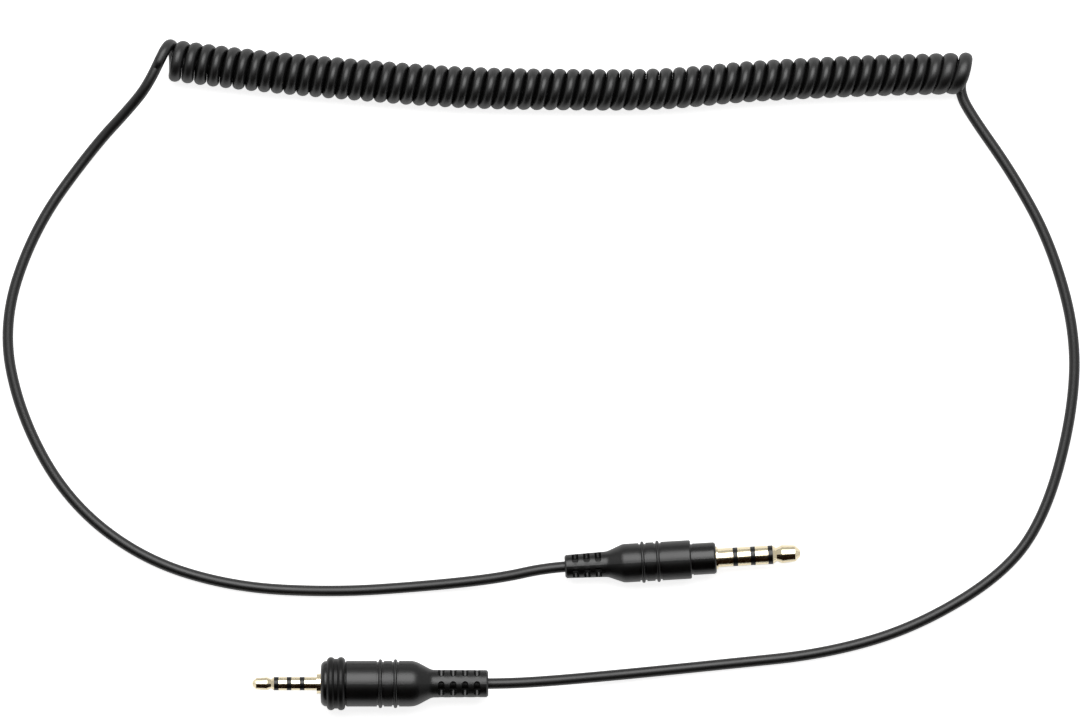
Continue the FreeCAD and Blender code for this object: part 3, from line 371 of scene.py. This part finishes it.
bm = bmesh.new()
bmesh.ops.create_grid(bm, x_segments=ring_corners, y_segments=len(wire_line) - 1, size=1.0)
bm.verts.ensure_lookup_table()
for i in range(len(wire_line)):
    ring, free = ring_of(i)
    for k in range(ring_corners + 1):
        angle = 2 * math.pi * (k % ring_corners) / ring_corners
        bm.verts[i * (ring_corners + 1) + k].co = ring @ section_corner(angle, free)
bmesh.ops.remove_doubles(bm, verts=bm.verts[:], dist=1e-7)
bmesh.ops.holes_fill(bm, edges=[edge for edge in bm.edges if edge.is_boundary])
bmesh.ops.recalc_face_normals(bm, faces=bm.faces[:])
for face in bm.faces:
    face.smooth = len(face.verts) == 4  # the two closed ends stay flat
curl_mesh = bpy.data.meshes.new("curled_cable")
bm.to_mesh(curl_mesh)
bm.free()
print("the curls have", len(curl_mesh.polygons), "faces")

# %% [markdown]
# The curled cable as a piece
#
# The curls become a piece of their own, with their place baked into their points, and the CAD model's
# plain section of them is hidden. The piece is joined to neither plug's body.

# %% Curled cable
curled_cable = bpy.data.objects.new("curled_cable", curl_mesh)
scene.collection.objects.link(curled_cable)
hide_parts("curled_section")
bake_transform(curled_cable)
print("curled_cable stretches between", near_body, "and", far_body)

# %% [markdown]
# How a finish is made
#
# Each finish is a small set of shader nodes on the Principled shader. A fine noise drives the bump, for
# the grain of a moulded surface, and a slow one makes some places a little duller than others, as
# handling does. A picture of plastic wrapped round the pieces would need a seam and would blur up close,
# and noise does neither. Both noises read Object coordinates, so that they lie still on the piece. Those
# are in metres, so a noise scale of some thousands gives grain of a fraction of a millimetre.

# %% Finish helpers
grain_detail, grain_depth = 3.0, 0.00003
wear_scale = 180.0


def new_finish(name, colour, roughness, metallic=0.0, grain=0.0, grain_scale=2500.0, wear=0.0, shine=0.5):
    """A finish with fine grain in its bump, and slow changes of its gloss."""
    material = bpy.data.materials.new(name)
    material.use_nodes = True
    tree = material.node_tree
    shader = tree.nodes["Principled BSDF"]
    shader.inputs["Base Color"].default_value = (*colour, 1.0)
    shader.inputs["Roughness"].default_value = roughness
    shader.inputs["Metallic"].default_value = metallic
    shader.inputs["Specular IOR Level"].default_value = shine
    place = tree.nodes.new("ShaderNodeTexCoord")
    if grain:
        noise = tree.nodes.new("ShaderNodeTexNoise")
        noise.inputs["Scale"].default_value = grain_scale
        noise.inputs["Detail"].default_value = grain_detail
        bump = tree.nodes.new("ShaderNodeBump")
        bump.inputs["Strength"].default_value = grain
        bump.inputs["Distance"].default_value = grain_depth
        tree.links.new(place.outputs["Object"], noise.inputs["Vector"])
        tree.links.new(noise.outputs["Fac"], bump.inputs["Height"])
        tree.links.new(bump.outputs["Normal"], shader.inputs["Normal"])
    if wear:
        slow = tree.nodes.new("ShaderNodeTexNoise")
        slow.inputs["Scale"].default_value = wear_scale
        spread = tree.nodes.new("ShaderNodeMapRange")
        spread.inputs["To Min"].default_value = roughness - wear
        spread.inputs["To Max"].default_value = roughness + wear
        tree.links.new(place.outputs["Object"], slow.inputs["Vector"])
        tree.links.new(slow.outputs["Fac"], spread.inputs["Value"])
        tree.links.new(spread.outputs["Result"], shader.inputs["Roughness"])
    return material


def dress(material, *names):
    """Puts a finish on CAD nodes."""
    for name in names:
        data = nodes[name].data
        data.materials.clear()
        data.materials.append(material)


# %% [markdown]
# The finishes outside
#
# The jacket is soft black plastic with a fine grain. The moulded covers are the same black, smoother,
# and the collars in front of them are smoother still, as they come from a polished mould. The seal ring
# is duller, because it is rubber. All these blacks are nearly without a colour of their own, and what
# tells them apart is their shine. The pins are gold plated, so their colour is the colour of their
# reflections, and hard black rings part them.

# %% Finishes outside
jacket = new_finish("soft_black_jacket", (0.0012, 0.0012, 0.0012), 0.42, grain=0.25, grain_scale=3000.0,
                    wear=0.05, shine=0.75)
cover = new_finish("satin_black_moulding", (0.0012, 0.0012, 0.0012), 0.34, grain=0.35, grain_scale=4000.0,
                   wear=0.06, shine=0.6)
nose = new_finish("smooth_black_collar", (0.001, 0.001, 0.001), 0.28, grain=0.1, wear=0.04, shine=0.6)
seal = new_finish("black_seal_rubber", (0.001, 0.001, 0.001), 0.38, grain=0.2, wear=0.05, shine=0.35)
gold = new_finish("gold_plating", (1.0, 0.88, 0.62), 0.17, metallic=1.0, grain=0.05, wear=0.03)
black_ring = new_finish("black_ring_plastic", (0.0015, 0.0015, 0.0015), 0.3, wear=0.04)
for piece in (left_cable, right_cable, curled_cable):
    piece.data.materials.append(jacket)
for plug in ("plug35_", "plug25_"):
    dress(cover, plug + "overmould")
    dress(gold, *(plug + word + "_contact" for word in ("sleeve", "rear_ring", "front_ring", "tip")))
    dress(black_ring, *(plug + word + "_insulator" for word in ("rear", "middle", "front")))
dress(nose, "plug35_nose_collar", "plug25_front_collar")
dress(seal, "plug25_seal_ring")
print(len(bpy.data.materials), "finishes outside")

# %% [markdown]
# The finishes inside
#
# Nothing inside the plugs can be seen in the picture, but each piece is there and can be shown cut open.
# A stiff pre-mould of natural plastic holds the pin, each contact has a lug of plated sheet behind it,
# and a joint of dull solder holds one wire to each lug. The wires' colours tell them apart, and one is
# bare lacquered copper.

# %% Finishes inside
core = new_finish("natural_inner_mould", (0.62, 0.61, 0.56), 0.45, grain=0.2, wear=0.05)
lug_metal = new_finish("plated_lug_sheet", (0.78, 0.60, 0.30), 0.3, metallic=1.0, grain=0.1, wear=0.05)
solder = new_finish("dull_solder", (0.55, 0.55, 0.57), 0.42, metallic=1.0, grain=0.3, wear=0.08)
wire_colours = {
    "sleeve": new_finish("lacquered_copper", (0.60, 0.28, 0.12), 0.35, grain=0.1, wear=0.05),
    "rear_ring": new_finish("blue_insulation", (0.05, 0.10, 0.42), 0.4, grain=0.1, wear=0.05),
    "front_ring": new_finish("red_insulation", (0.45, 0.03, 0.02), 0.4, grain=0.1, wear=0.05),
    "tip": new_finish("green_insulation", (0.04, 0.28, 0.08), 0.4, grain=0.1, wear=0.05),
}
for plug in ("plug35_", "plug25_"):
    dress(jacket, plug + "jacket_end")
    dress(core, plug + "inner_mould")
    for word, colour in wire_colours.items():
        dress(lug_metal, plug + word + "_lug")
        dress(solder, plug + word + "_solder")
        dress(colour, plug + word + "_wire")
print(len(bpy.data.materials), "finishes in all")

# %% [markdown]
# What surrounds the cable
#
# The table and the screen are both flat sheets, which a grid of one face makes. A white surround that
# the camera and the reflections see brighter than it lights the cable needs a few sums on the kind of
# ray. Light Path says what kind a ray is, and Math nodes add those sums up.

# %% Helpers for the surround


def make_sheet(name, width, depth, tilt=0.0, place=(0.0, 0.0, 0.0)):
    """A flat sheet of the stage, tilted about X and then moved to its place."""
    mesh = bpy.data.meshes.new(name)
    bm = bmesh.new()
    bmesh.ops.create_grid(bm, x_segments=1, y_segments=1, size=0.5)
    bmesh.ops.scale(bm, vec=(width, depth, 1.0), verts=bm.verts[:])
    bmesh.ops.rotate(bm, cent=(0, 0, 0), matrix=Matrix.Rotation(tilt, 3, "X"), verts=bm.verts[:])
    bmesh.ops.translate(bm, vec=place, verts=bm.verts[:])
    bm.to_mesh(mesh)
    bm.free()
    sheet = bpy.data.objects.new(name, mesh)
    scene.collection.objects.link(sheet)
    return sheet


def add_sum(tree, operation, *values):
    """A Math node. Each value is a number for its socket, or the output of another node."""
    node = tree.nodes.new("ShaderNodeMath")
    node.operation = operation
    for socket, value in zip(node.inputs, values):
        if isinstance(value, float):
            socket.default_value = value
        else:
            tree.links.new(value, socket)
    return node.outputs[0]


def strength_by_ray(tree, plain, seen, mirrored):
    """A strength for the light that falls on things, for the camera, and for shiny and clear things."""
    rays = tree.nodes.new("ShaderNodeLightPath")
    shown = add_sum(tree, "MAXIMUM", rays.outputs["Is Glossy Ray"], rays.outputs["Is Transmission Ray"])
    strength = add_sum(tree, "MULTIPLY_ADD", rays.outputs["Is Camera Ray"], seen - plain, plain)
    return add_sum(tree, "MULTIPLY_ADD", shown, mirrored - plain, strength)


# %% [markdown]
# The table
#
# The photograph's ground is pure white with almost no shadow. Stronger lamps would turn a grey floor
# white, but they would light the black plastic up too. So the floor is a pale diffuse plane that also
# glows for camera rays, and less for reflections. It reads as white while the lamp stays at a plain
# level, and the cable still leaves a faint shadow on it.

# %% Floor
floor_size = 6.0
glow_seen = 0.85  # what the camera sees besides the lit surface
glow_mirrored = 0.3  # what shows in shiny and clear surfaces
floor = make_sheet("table_top", floor_size, floor_size)
white = bpy.data.materials.new("white_table")
white.use_nodes = True
tree = white.node_tree
tree.nodes.clear()
diffuse = tree.nodes.new("ShaderNodeBsdfDiffuse")
diffuse.inputs["Color"].default_value = (0.8, 0.8, 0.8, 1.0)
glow = tree.nodes.new("ShaderNodeEmission")
both = tree.nodes.new("ShaderNodeAddShader")
out = tree.nodes.new("ShaderNodeOutputMaterial")
tree.links.new(strength_by_ray(tree, 0.0, glow_seen, glow_mirrored), glow.inputs["Strength"])
tree.links.new(diffuse.outputs[0], both.inputs[0])
tree.links.new(glow.outputs[0], both.inputs[1])
tree.links.new(both.outputs[0], out.inputs["Surface"])
floor.data.materials.append(white)
print("floor", floor_size, "m square")

# %% [markdown]
# The lamp
#
# The plugs show how the picture was lit. A grey shine lies on the half of each barrel that faces the top
# of the picture, and it is black below the middle. That is one wide soft box above and behind. A smaller
# lamp would leave a narrow line of light on each curl, and the leads that run up the picture would stay
# black.

# %% Lamp
lamp_angle = math.radians(31)
lamp_distance = 1.36
lamp_width, lamp_depth = 1.4, 1.15
lamp_power = 18.5
lamp_aim = 0.05  # the middle of the picture, towards the back

lamp_data = bpy.data.lights.new("soft_box", "AREA")
lamp_data.shape = "RECTANGLE"
lamp_data.size = lamp_width
lamp_data.size_y = lamp_depth
lamp_data.energy = lamp_power
soft_box = bpy.data.objects.new("soft_box", lamp_data)
soft_box.location = (0.0, lamp_aim + lamp_distance * math.sin(lamp_angle),
                     lamp_distance * math.cos(lamp_angle))
soft_box.rotation_euler = (-lamp_angle, 0.0, 0.0)
scene.collection.objects.link(soft_box)
print("lamp power", lamp_data.energy)

# %% [markdown]
# The room
#
# A little light from all around fills the shadows. The edges of the barrels have a thin grey line, where
# they show the pale room at a flat angle, so the room is brighter in reflections than in the light that
# it gives.

# %% Room
room_level = 0.15
room_shown = 0.5  # what shows of the pale room in shiny and clear surfaces
room_seen = 1.0  # what the camera sees of it past the edge of the table

world = bpy.data.worlds.new("pale_room")
scene.world = world
world.use_nodes = True
room = world.node_tree.nodes["Background"]
room.inputs["Color"].default_value = (1.0, 1.0, 1.0, 1.0)
world.node_tree.links.new(strength_by_ray(world.node_tree, room_level, room_seen, room_shown),
                          room.inputs["Strength"])
print("the room gives", room_level, "and shows", room_shown)

# %% [markdown]
# The screen of painted shade
#
# The gold pins have a brown line below their middle, and the barrels are black there, because the near side
# lay in shade. A dark brown sheet hangs there at a slant as painted shade, and the pins and barrels show it
# as a painted dark reflection. The camera doesn't see it.

# %% Screen of painted shade
screen_width, screen_depth = 6.0, 3.6
screen_slant = math.radians(45)
screen_middle = (0.0, -1.75, 1.28)
screen = make_sheet("painted_shade_screen", screen_width, screen_depth, tilt=screen_slant, place=screen_middle)
screen.visible_camera = False
# Painted shade: a dark brown sheet, seen only in reflections, where the near side held only shade.
painted_shade_finish = bpy.data.materials.new("painted_shade_brown")
painted_shade_finish.use_nodes = True
painted_shade_shader = painted_shade_finish.node_tree.nodes["Principled BSDF"]
painted_shade_shader.inputs["Base Color"].default_value = (0.030, 0.013, 0.004, 1.0)
painted_shade_shader.inputs["Roughness"].default_value = 0.9
painted_shade_shader.inputs["Specular IOR Level"].default_value = 0.0
screen.data.materials.append(painted_shade_finish)
print("the screen reaches", round(max(v.co.z for v in screen.data.vertices), 2), "m up on the near side")
